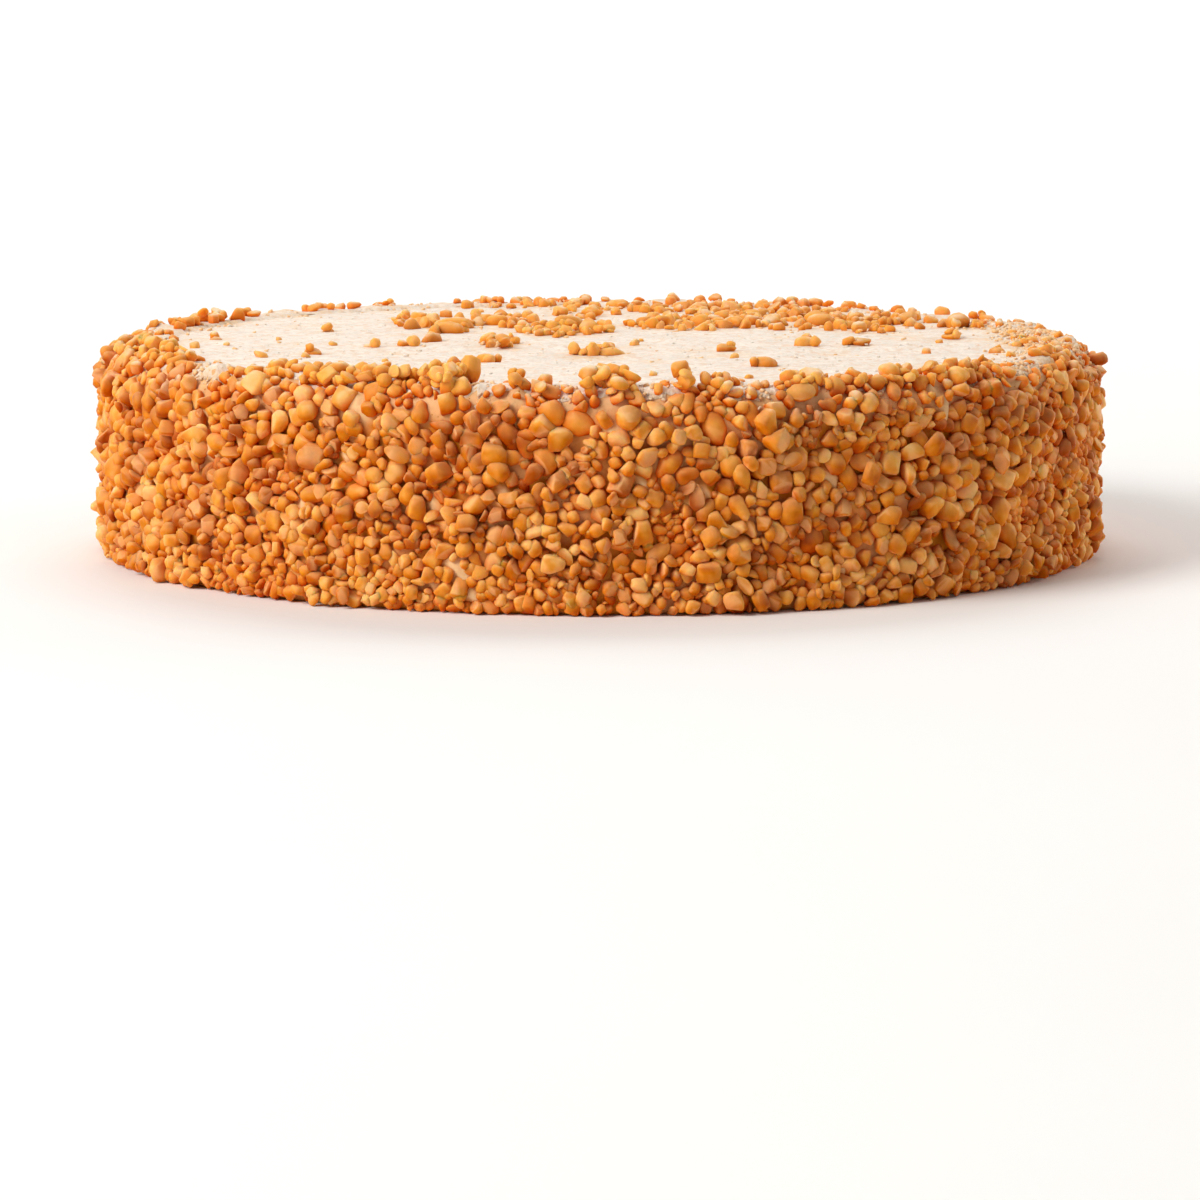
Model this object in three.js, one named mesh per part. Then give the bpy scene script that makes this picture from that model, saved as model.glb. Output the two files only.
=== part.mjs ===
// Mille-feuille cake: one round, uncut cake with a coat of chopped roasted nuts on its side,
// a ragged rim of nuts round its top edge, and a flat top under icing sugar with more nuts.
// The cake is one solid, because nothing of its inside shows.
// Millimetres, +Z up. The front of the cake faces -Y. The origin is the middle of its base.

import * as THREE from 'three';
import { mergeVertices } from 'three/addons/utils/BufferGeometryUtils.js';

// Driving dimensions.
const COAT_RADIUS = 136.2;      // middle of the nut coat's rough surface
const SUGAR_HEIGHT = 56;        // base to the flat sugared top
const RIM_STAND = 1.8;          // how far the nut rim stands above the sugar on average
const RIM_CREST_INSET = 6.5;    // from the coat's surface in to the top of the rim
const RIM_WIDTH = 13;           // from the coat's surface in to the bare sugar
const SHOULDER_DROP = 8;        // height of the rounded top edge
const FOOT_INSET = 3.2;         // how far the base is tucked in under the coat
const FOOT_HEIGHT = 4.5;        // height of the tucked-in foot

// How uneven the cake is, as heights of its relief.
const BODY_WOBBLE = 0.9;        // the hand-spread body
const NUT_RELIEF = 2.4;         // rounded nuts that stand out of the coat
const HOLLOW_DEPTH = 0.8;       // gaps between them
const RIM_RELIEF = 1.7;         // heaps and gaps along the rim
const SUGAR_RELIEF = 0.4;       // spread sugar
const NUT_BED = 3;              // nuts lying close together on the top

// Sizes of those features along the surface.
const BODY_SPAN = 70;
const NUT_SPAN = 13;
const RIM_SPAN = 24;
const SUGAR_SPAN = 40;
const BED_EDGE = 14;            // how slowly a bed of nuts thins out

// Beds of nuts on the top: middle x, middle y and radius.
const NUT_BEDS = [
  [62, 66, 30],
  [28, 62, 16],
  [48, 100, 20],
  [4, 92, 14],
  [-12, 114, 12],
  [-36, 62, 18],
];

// Stretches of the top edge where sugar lies bare: degrees round from the front, and half their width.
const BARE_EDGES = [
  [-50, 4],
  [-13, 1.5],
  [6, 1.5],
  [17.5, 2],
  [58, 4],
  [92, 25],
  [142, 4],
  [160, 5],
  [-177, 5],
  [-152, 4],
  [-131, 4],
];
const BARE_FADE = 4;            // degrees in which the rim rises again beside them

// Mesh steps round the cake and along each stretch of its outline.
const STEPS_ROUND = 144;
const STEPS_ALONG = [1, 3, 9, 4, 3, 14];

// Repeatable values from 0 to 1 for one corner of a grid of unit cubes.
function cornerValue(x, y, z, draw = 0) {
  let bits = Math.imul(x + 517, 0x27d4eb2d) + Math.imul(y + 911, 0x165667b1);
  bits += Math.imul(z + 263, 0x9e3779b1) + Math.imul(draw + 1, 0x85ebca6b);
  for (const [shift, factor] of [[16, 0x7feb352d], [15, 0x846ca68b], [16, 0x9e3779b1]]) {
    bits = Math.imul(bits ^ (bits >>> shift), factor);
  }
  return ((bits ^ (bits >>> 15)) >>> 0) / 4294967295;
}

// Smooth noise from -1 to 1, whose swells are about as far apart as span.
function swells(point, span) {
  const cell = point.clone().divideScalar(span);
  const corner = cell.clone().floor();
  const inside = cell.sub(corner);
  const ease = (t) => t * t * (3 - 2 * t);
  let total = 0;
  for (const dx of [0, 1]) {
    for (const dy of [0, 1]) {
      for (const dz of [0, 1]) {
        const shareX = dx ? ease(inside.x) : 1 - ease(inside.x);
        const shareY = dy ? ease(inside.y) : 1 - ease(inside.y);
        const shareZ = dz ? ease(inside.z) : 1 - ease(inside.z);
        const value = cornerValue(corner.x + dx, corner.y + dy, corner.z + dz);
        total += shareX * shareY * shareZ * value;
      }
    }
  }
  return 2 * total - 1;
}

// Rounded nuts: 1 on top of a nut and 0 in the gaps, with one nut in each cube of side span.
function nutDomes(point, span) {
  const cell = point.clone().divideScalar(span);
  const corner = cell.clone().floor();
  const nut = new THREE.Vector3();
  let dome = 0;
  for (const dx of [-1, 0, 1]) {
    for (const dy of [-1, 0, 1]) {
      for (const dz of [-1, 0, 1]) {
        const [x, y, z] = [corner.x + dx, corner.y + dy, corner.z + dz];
        nut.set(x + cornerValue(x, y, z, 1), y + cornerValue(x, y, z, 2), z + cornerValue(x, y, z, 3));
        const reach = 0.5 + 0.4 * cornerValue(x, y, z, 4);
        const distance = nut.distanceTo(cell) / reach;
        dome = Math.max(dome, 1 - distance * distance);
      }
    }
  }
  return dome;
}

// Half the cake's outline, from the middle of the base round to the middle of the top.
function cakeOutline() {
  const crestRadius = COAT_RADIUS - RIM_CREST_INSET;
  const crestHeight = SUGAR_HEIGHT + RIM_STAND;
  const shoulderHeight = crestHeight - SHOULDER_DROP;
  const sugarRadius = COAT_RADIUS - RIM_WIDTH;
  const outline = new THREE.Path();
  outline.moveTo(0, 0);
  outline.lineTo(COAT_RADIUS - FOOT_INSET, 0);
  outline.quadraticCurveTo(COAT_RADIUS, 0, COAT_RADIUS, FOOT_HEIGHT);
  outline.lineTo(COAT_RADIUS, shoulderHeight);
  outline.absellipse(crestRadius, shoulderHeight, RIM_CREST_INSET, SHOULDER_DROP, 0, Math.PI / 2);
  outline.quadraticCurveTo(sugarRadius + 1, crestHeight, sugarRadius, SUGAR_HEIGHT);
  outline.lineTo(0, SUGAR_HEIGHT);
  const points = [new THREE.Vector2(0, 0)];
  outline.curves.forEach((curve, stretch) => {
    const stretchPoints = curve.getSpacedPoints(STEPS_ALONG[stretch]);
    points.push(...stretchPoints.slice(1));
  });
  points[points.length - 1].x = 0;
  return points;
}

// The outline spun round, with shared corners merged and the flat slivers at both poles dropped.
function spunCake() {
  const lathe = new THREE.LatheGeometry(cakeOutline(), STEPS_ROUND);
  lathe.rotateX(Math.PI / 2);
  lathe.deleteAttribute('normal');
  lathe.deleteAttribute('uv');
  const merged = mergeVertices(lathe, 0.001);
  const corners = merged.getIndex().array;
  const kept = [];
  for (let i = 0; i < corners.length; i += 3) {
    const [a, b, c] = [corners[i], corners[i + 1], corners[i + 2]];
    if (a !== b && b !== c && c !== a) {
      kept.push(a, b, c);
    }
  }
  merged.setIndex(kept);
  merged.computeVertexNormals();
  return merged;
}

// 1 inside a bed of nuts on the top, falling to 0 past its edge.
function bedShare(point) {
  let share = 0;
  for (const [x, y, radius] of NUT_BEDS) {
    const distance = Math.hypot(point.x - x, point.y - y);
    const inner = radius - BED_EDGE / 2;
    share = Math.max(share, 1 - THREE.MathUtils.smoothstep(distance, inner, inner + BED_EDGE));
  }
  return share;
}

// 1 where the top edge is bare, falling to 0 beside it.
function bareShare(point) {
  const turn = THREE.MathUtils.radToDeg(Math.atan2(point.x, -point.y));
  let share = 0;
  for (const [middle, half] of BARE_EDGES) {
    const away = Math.abs(THREE.MathUtils.euclideanModulo(turn - middle + 180, 360) - 180);
    share = Math.max(share, 1 - THREE.MathUtils.smoothstep(away, half, half + BARE_FADE));
  }
  return share;
}

// How far one point of the smooth cake moves out along its normal.
function relief(point) {
  const rimShare = THREE.MathUtils.smoothstep(point.z, SUGAR_HEIGHT - SHOULDER_DROP, SUGAR_HEIGHT);
  const onTop = Math.hypot(point.x, point.y) < COAT_RADIUS - RIM_WIDTH + 0.01;
  if (onTop && rimShare === 1) {
    const bed = bedShare(point) * NUT_BED * nutDomes(point, NUT_SPAN);
    return bed + SUGAR_RELIEF * swells(point, SUGAR_SPAN);
  }
  const bare = bareShare(point) * rimShare;
  const nuts = (NUT_RELIEF * nutDomes(point, NUT_SPAN) - HOLLOW_DEPTH) * (1 - 0.6 * bare);
  const rim = RIM_RELIEF * swells(point, RIM_SPAN) * rimShare * (1 - bare) - RIM_STAND * bare;
  return nuts + rim + BODY_WOBBLE * swells(point, BODY_SPAN);
}

// The cake with its relief. The base stays flat, and the foot stays above it.
function cakeGeometry() {
  const geometry = spunCake();
  const places = geometry.getAttribute('position');
  const normals = geometry.getAttribute('normal');
  const point = new THREE.Vector3();
  const normal = new THREE.Vector3();
  for (let i = 0; i < places.count; i += 1) {
    point.fromBufferAttribute(places, i);
    normal.fromBufferAttribute(normals, i);
    if (point.z > 0.01) {
      point.addScaledVector(normal, relief(point) * Math.min(1, point.z / FOOT_HEIGHT));
      places.setXYZ(i, point.x, point.y, Math.max(point.z, 0.2));
    }
  }
  geometry.deleteAttribute('normal');
  geometry.computeBoundingBox();
  const middle = geometry.boundingBox.getCenter(new THREE.Vector3());
  geometry.translate(-middle.x, -middle.y, 0);
  geometry.computeVertexNormals();
  return geometry;
}

const nutCoat = new THREE.MeshStandardMaterial({ color: 0xcf8842, roughness: 0.55, metalness: 0 });

const cake = new THREE.Mesh(cakeGeometry(), nutCoat);
cake.name = 'cake';

const group = new THREE.Group();
group.add(cake);

export default group;
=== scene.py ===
"""Round mille-feuille cake, finished.

A cream core carries a thick coat of chopped roasted nuts round its side, heaped into a ragged
rim. The flat top lies under icing sugar with more nuts on it. Every nut is a real mesh.
Work is in millimetres, and turned to metres where a mesh is made.
"""

import math

import bmesh
import bpy
import numpy as np
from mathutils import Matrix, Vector, noise
from mathutils.bvhtree import BVHTree


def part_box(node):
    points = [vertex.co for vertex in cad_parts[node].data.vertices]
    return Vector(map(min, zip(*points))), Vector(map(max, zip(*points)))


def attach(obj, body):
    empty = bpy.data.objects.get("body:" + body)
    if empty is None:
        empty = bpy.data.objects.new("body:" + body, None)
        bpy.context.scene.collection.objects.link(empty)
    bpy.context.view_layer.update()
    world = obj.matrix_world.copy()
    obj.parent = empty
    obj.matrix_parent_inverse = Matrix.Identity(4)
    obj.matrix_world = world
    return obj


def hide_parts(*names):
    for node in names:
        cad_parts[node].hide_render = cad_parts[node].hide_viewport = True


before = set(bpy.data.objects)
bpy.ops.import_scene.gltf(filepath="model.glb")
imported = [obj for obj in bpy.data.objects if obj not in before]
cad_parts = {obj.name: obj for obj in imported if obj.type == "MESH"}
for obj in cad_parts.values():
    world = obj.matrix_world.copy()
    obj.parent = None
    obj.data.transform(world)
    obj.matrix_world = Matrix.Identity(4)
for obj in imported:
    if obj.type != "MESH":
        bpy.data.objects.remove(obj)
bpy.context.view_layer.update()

MM = 0.001
cake_low, cake_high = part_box("cake")
CAKE_RADIUS = (cake_high.x - cake_low.x) / 2 / MM
CAKE_HEIGHT = cake_high.z / MM

# The cream core under the nuts.
COAT_DEPTH = 4.1                                # core to the outermost nuts
CORE_RADIUS = CAKE_RADIUS - COAT_DEPTH - 0.7
RIM_STAND = 4.2                                 # how far the highest nuts stand above the sugar
SUGAR_LEVEL = CAKE_HEIGHT - RIM_STAND           # the flat sugared top
SUGAR_THICK = 1.2
CORE_TOP = SUGAR_LEVEL - SUGAR_THICK / 2
SHOULDER = 6.5                                  # radius of the core's top edge
FOOT = 2.2                                      # radius of its bottom edge
RIM_WIDTH = 26.0                                # flat ring inside the shoulder, where nuts can heap
CORE_SIDES = 320
CORE_STEP = 2.6                                 # height of one ring of its mesh
SUGAR_SQUARES = 226                             # squares of the sugar's mesh, across the cake

# Lengths of the nuts, smallest and largest.
LARGE_LENGTH = (5.0, 7.4)
KERNEL_LENGTH = (5.6, 9.0)
RIM_LENGTH = (2.9, 6.0)
BACK_LENGTH = (2.7, 4.8)
BED_LENGTH = (2.5, 5.4)
UPPER_LENGTH = (3.5, 6.6)
MIDDLE_LENGTH = (3.4, 6.0)
FOOT_LENGTH = (3.1, 5.2)
BIT_LENGTH = (2.2, 3.6)
CRUMB_LENGTH = (0.6, 1.5)
FLAKE_LENGTH = (0.6, 1.3)
GRAIN_LENGTH = (0.35, 0.65)

# Heaps of nuts along the rim: degrees round from the front, half their width in degrees, how
# far in they reach past the shoulder, how many nuts they hold, and how high they may stand.
RIM_HEAPS = [
    (-150, 1, 3, 4, 1.8), (-144.5, 1, 2, 2, 1.6), (-138.5, 3, 4, 9, 2.4), (-126, 1, 3, 5, 3.4),
    (-119, 3, 4, 20, 4.3), (-108, 3, 4, 13, 3.8), (-76, 5, 4, 20, 5.4), (-67, 0.8, 4, 4, 6.4),
    (-66, 3, 4, 15, 5), (-59, 1.5, 3, 8, 4.4), (-39, 4.5, 5, 26, 5), (-31, 4, 6, 28, 5.2),
    (-24.5, 3, 3, 16, 5.8), (-18, 2.2, 6, 26, 7.6), (-9.3, 0.8, 2, 7, 6.4), (-6.5, 1, 1, 4, 4),
    (1, 2.4, 5, 28, 6.6), (9.3, 0.6, 0.5, 5, 8), (13, 1.6, 2, 8, 4.8), (24, 3, 2.5, 13, 4.4),
    (30, 1.5, 2, 7, 4.4), (36, 2, 2, 9, 4.8), (42, 3, 1.5, 11, 4.4), (47, 2, 2, 8, 4.6),
    (51, 1.5, 1, 5, 4.2), (66, 2, 1, 6, 4), (71, 2, 1, 6, 4.2), (-163, 3, 3, 4, 2.2),
    (168, 26, 4, 14, 1.8), (122.5, 0.3, 0.5, 3, 4),
]
# Single nuts standing along the back of the rim: degrees round.
BACK_NUTS = (-174, -169, -178, 179, 175, 170, 166.5, 164, 153, 150, 145, 136, 128.5, 120)
# Where the nuts of the side are larger or smaller than elsewhere: degrees round, height, how far
# that reaches each way, and how much larger they are.
SIZE_PATCHES = [
    (-68, 38, 26, 26, 0.2), (-48, 10, 26, 16, -0.08), (-12, 44, 9, 12, 0.12), (-22, 12, 12, 12, -0.1),
    (6, 36, 12, 16, 0.1), (22, 20, 12, 14, 0.15), (30, 44, 8, 12, 0.12), (44, 26, 12, 18, 0.16),
    (60, 40, 10, 14, -0.08), (74, 20, 14, 16, -0.1), (110, 30, 20, 20, 0.12), (150, 24, 18, 18, 0.16),
    (-170, 36, 22, 16, -0.08), (-130, 26, 22, 20, 0.16), (-100, 14, 16, 14, -0.08),
]
# Beds of nuts on the top: middle, how far they reach each way, and how many nuts they hold.
TOP_BEDS = [
    (60, 60, 34, 26, 62), (28, 56, 18, 22, 26), (45, 100, 34, 16, 30), (80, 58, 15, 14, 16),
    (-10, 116, 34, 10, 18), (-11, 29, 11, 11, 26), (-24, 62, 18, 18, 16), (-49, 58, 12, 18, 14),
    (0, -32, 7, 4, 9), (-27, -8, 6, 8, 8), (103, 42, 7, 5, 5), (77, 30, 10, 6, 5),
    (2, 90, 16, 22, 14), (12, 48, 13, 9, 9),
]
# Large nuts lying alone on the top: place and length.
TOP_SINGLES = [
    (-77, -30, 4.6), (-63, -12, 4.4), (-53, -10, 4.2), (-47, 2, 6.2), (-43, 27, 10), (-8, 38, 10.5),
    (-41, 44, 9.5), (-30, -52, 5.8),
    (3, -12, 3.4), (56, -7, 6.4), (71, -7, 6.4), (43, -66, 5.8), (34, -24, 4.8), (107, -27, 4.5),
    (98, 14, 6), (-76, 33, 4), (-106, 8, 4),
]
# Stretches where bare sugar reaches the edge: degrees round, and half their width.
RIM_GAPS = [(-50, 5), (-13, 2.1), (-3.6, 1.6), (6, 2.4), (17, 2.5), (33, 1), (58, 5), (92, 26), (141, 5),
            (160, 6), (183, 6), (208, 5), (229, 5)]
# Large nuts that stick out at the foot: degrees round and length.
FOOT_NUTS = [
    (-57, 6.2), (-51, 6.5), (-7, 6.4), (-28, 5.2), (14, 5.4), (36, 5.8), (66, 5.2), (95, 6), (131, 5.6),
    (160, 6.4), (-164, 5.4), (-131, 6.1), (-97, 5.5),
]


# ---------------------------------------------------------------- work by hand


def choose(piece):
    """Makes one piece the only selected one, and the active one."""
    bpy.ops.object.select_all(action="DESELECT")
    piece.select_set(True)
    bpy.context.view_layer.objects.active = piece


def new_piece(name):
    """Names the piece that was just added."""
    piece = bpy.context.active_object
    piece.name = name
    return piece


def edit_alone(piece):
    """Opens one piece in edit mode with nothing else selected."""
    choose(piece)
    bpy.ops.object.mode_set(mode="EDIT")


def leave_edit():
    bpy.ops.object.mode_set(mode="OBJECT")


def pick(piece, kind, wanted):
    """Selects the vertices, edges or faces that wanted(element) says."""
    mesh = bmesh.from_edit_mesh(piece.data)
    bpy.ops.mesh.select_all(action="DESELECT")
    for element in getattr(mesh, kind):
        if wanted(element):
            element.select_set(True)
    mesh.select_flush_mode()
    bmesh.update_edit_mesh(piece.data)


def apply_modifier(piece, kind, **settings):
    """Adds one modifier and applies it at once."""
    choose(piece)
    modifier = piece.modifiers.new(kind.lower(), kind)
    for key, value in settings.items():
        setattr(modifier, key, value)
    bpy.ops.object.modifier_apply(modifier=modifier.name)


def place_in_mesh(piece):
    """Moves the object's place, turn and size into its mesh."""
    choose(piece)
    bpy.ops.object.transform_apply(location=True, rotation=True, scale=True)


def smooth(piece):
    choose(piece)
    bpy.ops.object.shade_smooth()


def displace(piece, pattern, height, **settings):
    """Raises a piece's surface by a soft pattern."""
    apply_modifier(piece, "DISPLACE", texture=pattern, texture_coords="LOCAL", strength=height * MM,
                   **settings)


def clouds(name, size, depth=2, patches=None):
    """A soft three-dimensional pattern, or only the patches of it that lie above a level."""
    pattern = bpy.data.textures.new(name, "CLOUDS")
    pattern.noise_scale = size * MM
    pattern.noise_depth = depth
    if patches:
        pattern.use_color_ramp = True
        for element, at, value in zip(pattern.color_ramp.elements, patches, (0, 1)):
            element.position = at
            element.color = (value, value, value, 1)
    return pattern


# ---------------------------------------------------------------- shader groups

COLOUR, VECTOR, VALUE = "NodeSocketColor", "NodeSocketVector", "NodeSocketFloat"


def new_group(name, inputs, outputs):
    """A shader node group with named sockets, and what goes into it and out of it."""
    group = bpy.data.node_groups.new(name, "ShaderNodeTree")
    for socket, kind, value in inputs:
        made = group.interface.new_socket(socket, in_out="INPUT", socket_type=kind)
        if value is not None:
            made.default_value = value
    for socket, kind in outputs:
        group.interface.new_socket(socket, in_out="OUTPUT", socket_type=kind)
    return group, group.nodes.new("NodeGroupInput").outputs, group.nodes.new("NodeGroupOutput").inputs


def add_node(tree, kind, links, **settings):
    """Adds a node, sets what is named and links or fills its inputs."""
    node = tree.nodes.new(kind)
    for key, value in settings.items():
        setattr(node, key, value)
    for socket, source in links.items():
        if isinstance(source, bpy.types.NodeSocket):
            tree.links.new(source, node.inputs[socket])
        else:
            node.inputs[socket].default_value = source
    return node


def reckon(tree, operation, *values, held=False):
    """One step of arithmetic, held between 0 and 1 if asked."""
    links = dict(enumerate(values))
    return add_node(tree, "ShaderNodeMath", links, operation=operation, use_clamp=held).outputs[0]


def ranged(tree, value, low, high, least=0.0, most=1.0):
    """A value brought from the range low to high into the range least to most."""
    links = {"Value": value, "From Min": low, "From Max": high, "To Min": least, "To Max": most}
    return add_node(tree, "ShaderNodeMapRange", links).outputs["Result"]


def cloudy(tree, place, scale, detail):
    """Soft noise from 0 to 1."""
    links = {"Vector": place, "Scale": scale, "Detail": detail}
    return add_node(tree, "ShaderNodeTexNoise", links).outputs["Fac"]


def along_axis(tree, vector, axis):
    return add_node(tree, "ShaderNodeSeparateXYZ", {0: vector}).outputs[axis]


def mottle_group():
    """Two sizes of soft patches that lighten and darken a colour."""
    group, given, result = new_group(
        "Mottle",
        [("Color", COLOUR, None), ("Place", VECTOR, None), ("Patch Scale", VALUE, 220.0),
         ("Fleck Scale", VALUE, 900.0), ("Strength", VALUE, 0.3)],
        [("Color", COLOUR), ("Patches", VALUE)],
    )
    patch = cloudy(group, given["Place"], given["Patch Scale"], 2.0)
    fleck = cloudy(group, given["Place"], given["Fleck Scale"], 1.0)
    spread = reckon(group, "ADD", reckon(group, "ADD", patch, fleck), -1.0)
    light = reckon(group, "MULTIPLY_ADD", spread, given["Strength"], 1.0)
    shaded = add_node(group, "ShaderNodeVectorMath", {0: given["Color"], "Scale": light}, operation="SCALE")
    group.links.new(shaded.outputs[0], result["Color"])
    group.links.new(patch, result["Patches"])
    return group


def speck_group():
    """A mask of small separate specks."""
    group, given, result = new_group(
        "Specks",
        [("Place", VECTOR, None), ("Scale", VALUE, 700.0), ("Size", VALUE, 0.25)],
        [("Mask", VALUE)],
    )
    cells = add_node(group, "ShaderNodeTexVoronoi", {"Vector": given["Place"], "Scale": given["Scale"]})
    draw = add_node(group, "ShaderNodeSeparateColor", {"Color": cells.outputs["Color"]})
    reach = reckon(group, "MULTIPLY", draw.outputs["Red"], given["Size"])
    edge = reckon(group, "SUBTRACT", reach, cells.outputs["Distance"])
    group.links.new(reckon(group, "MULTIPLY", edge, 12.0, held=True), result["Mask"])
    return group


def grain_group():
    """Heights of a fine rough surface, coarse and fine together."""
    group, given, result = new_group(
        "Grain",
        [("Place", VECTOR, None), ("Coarse Scale", VALUE, 500.0), ("Fine Scale", VALUE, 1800.0),
         ("Fine Share", VALUE, 0.4)],
        [("Height", VALUE)],
    )
    coarse = cloudy(group, given["Place"], given["Coarse Scale"], 2.0)
    fine = cloudy(group, given["Place"], given["Fine Scale"], 1.0)
    group.links.new(reckon(group, "MULTIPLY_ADD", fine, given["Fine Share"], coarse), result["Height"])
    return group


def film_group():
    """A mask of soft patches where a thin film of cream lies."""
    group, given, result = new_group(
        "Film",
        [("Place", VECTOR, None), ("Scale", VALUE, 55.0)],
        [("Mask", VALUE)],
    )
    patches = cloudy(group, given["Place"], given["Scale"], 2.5)
    group.links.new(ranged(group, patches, 0.49, 0.60), result["Mask"])
    return group


MOTTLE = mottle_group()
SPECKS = speck_group()
GRAIN = grain_group()
FILM = film_group()


def use_group(tree, group, links):
    return add_node(tree, "ShaderNodeGroup", links, node_tree=group).outputs


# ---------------------------------------------------------------- materials

# Colours of roasted nuts, from the darkest at 0 to the palest at 1.
ROASTS = [
    (0.00, (0.41, 0.088, 0.001)),
    (0.22, (0.55, 0.150, 0.001)),
    (0.50, (0.68, 0.235, 0.004)),
    (0.78, (0.79, 0.350, 0.040)),
    (1.00, (0.87, 0.490, 0.150)),
]


def new_material(name, **sockets):
    """A material with its Principled shader's plain values set, and its Object coordinates."""
    material = bpy.data.materials.new(name)
    material.use_nodes = True
    tree = material.node_tree
    shader = tree.nodes["Principled BSDF"]
    for socket, value in sockets.items():
        shader.inputs[socket.replace("_", " ")].default_value = value
    return material, tree, shader, tree.nodes.new("ShaderNodeTexCoord").outputs["Object"]


def blend(tree, share, first, second, way="MIX"):
    """Two colours mixed by a share; a plain colour is given as red, green and blue."""
    links = {0: share}
    for socket, colour in ((6, first), (7, second)):
        links[socket] = colour if isinstance(colour, bpy.types.NodeSocket) else (*colour, 1.0)
    return add_node(tree, "ShaderNodeMix", links, data_type="RGBA", blend_type=way).outputs[2]


def facing_up(tree):
    """How much the surface faces up: from -1, straight down, to 1."""
    return along_axis(tree, tree.nodes.new("ShaderNodeNewGeometry").outputs["Normal"], "Z")


def height_share(tree, place, low, high, least, most):
    """A share that changes between two heights, in millimetres above the sugared top."""
    height = along_axis(tree, place, "Z")
    return ranged(tree, height, (SUGAR_LEVEL + low) * MM, (SUGAR_LEVEL + high) * MM, least, most)


def radius_share(tree, place, low, high, most):
    """A share that rises from 0 between two distances, in millimetres past the core's side."""
    across = add_node(tree, "ShaderNodeVectorMath", {0: place, 1: (1.0, 1.0, 0.0)}, operation="MULTIPLY")
    radius = add_node(tree, "ShaderNodeVectorMath", {0: across.outputs[0]}, operation="LENGTH")
    inner, outer = (CORE_RADIUS + low) * MM, (CORE_RADIUS + high) * MM
    return ranged(tree, radius.outputs["Value"], inner, outer, 0.0, most)


def mottled(tree, place, colour, patch_scale, fleck_scale, strength):
    """A colour with soft patches in it, and the patches themselves."""
    outputs = use_group(tree, MOTTLE, {
        "Color": colour, "Place": place, "Patch Scale": patch_scale, "Fleck Scale": fleck_scale,
        "Strength": strength})
    return outputs["Color"], outputs["Patches"]


def set_gloss(tree, shader, patches, least, most):
    """Roughness that differs a little from patch to patch."""
    tree.links.new(ranged(tree, patches, 0.3, 0.7, least, most), shader.inputs["Roughness"])


def grain(tree, place, coarse_scale, fine_scale, fine_share):
    """Heights of a fine rough surface."""
    outputs = use_group(tree, GRAIN, {
        "Place": place, "Coarse Scale": coarse_scale, "Fine Scale": fine_scale, "Fine Share": fine_share})
    return outputs["Height"]


def add_bump(tree, shader, height, strength, distance):
    links = {"Height": height, "Strength": strength, "Distance": distance * MM}
    bump = add_node(tree, "ShaderNodeBump", links)
    tree.links.new(bump.outputs["Normal"], shader.inputs["Normal"])


def sugar_dust(tree, place, everywhere):
    """A mask of sugar dust near the top edge, in soft patches, on what faces up or everywhere."""
    facing = ranged(tree, facing_up(tree), 0.35, 0.95, everywhere)
    high = height_share(tree, place, -12, 0, 0.0, 0.85)
    patchy = ranged(tree, cloudy(tree, place, 130.0, 2.0), 0.48, 0.64, everywhere)
    return reckon(tree, "MULTIPLY", reckon(tree, "MULTIPLY", facing, high), patchy)


def in_shade(tree, place, deep):
    """A mask of painted shade, for what lies deep in the coat or faces down on the side."""
    under = ranged(tree, facing_up(tree), 0.4, -0.9, 0.0, 0.4)
    return reckon(tree, "MULTIPLY_ADD", under, height_share(tree, place, -3, 0, 1.0, 0.5), deep, held=True)


def roasted_colour(tree, place, tone):
    """The colour of a nut, by its own tone, by the batch it came from and by the blush across it; the broad
    batch patches also partly paint the shade of clumps.
    """
    # The broad batch patches vary the roast and partly stand for painted shade of clumps and hollows.
    batch, blush = cloudy(tree, place, 72.0, 2.0), cloudy(tree, place, 260.0, 1.5)
    both = reckon(tree, "MULTIPLY_ADD", batch, 1.9, blush)
    local = reckon(tree, "SUBTRACT", reckon(tree, "MULTIPLY_ADD", both, 1.2, tone), 1.74)
    ramp = add_node(tree, "ShaderNodeValToRGB", {"Fac": local})
    for at, _ in ROASTS[1:-1]:
        ramp.color_ramp.elements.new(at)
    for element, (at, colour) in zip(ramp.color_ramp.elements, ROASTS):
        element.position = at
        element.color = (*colour, 1.0)
    return ramp.outputs["Color"]


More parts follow.
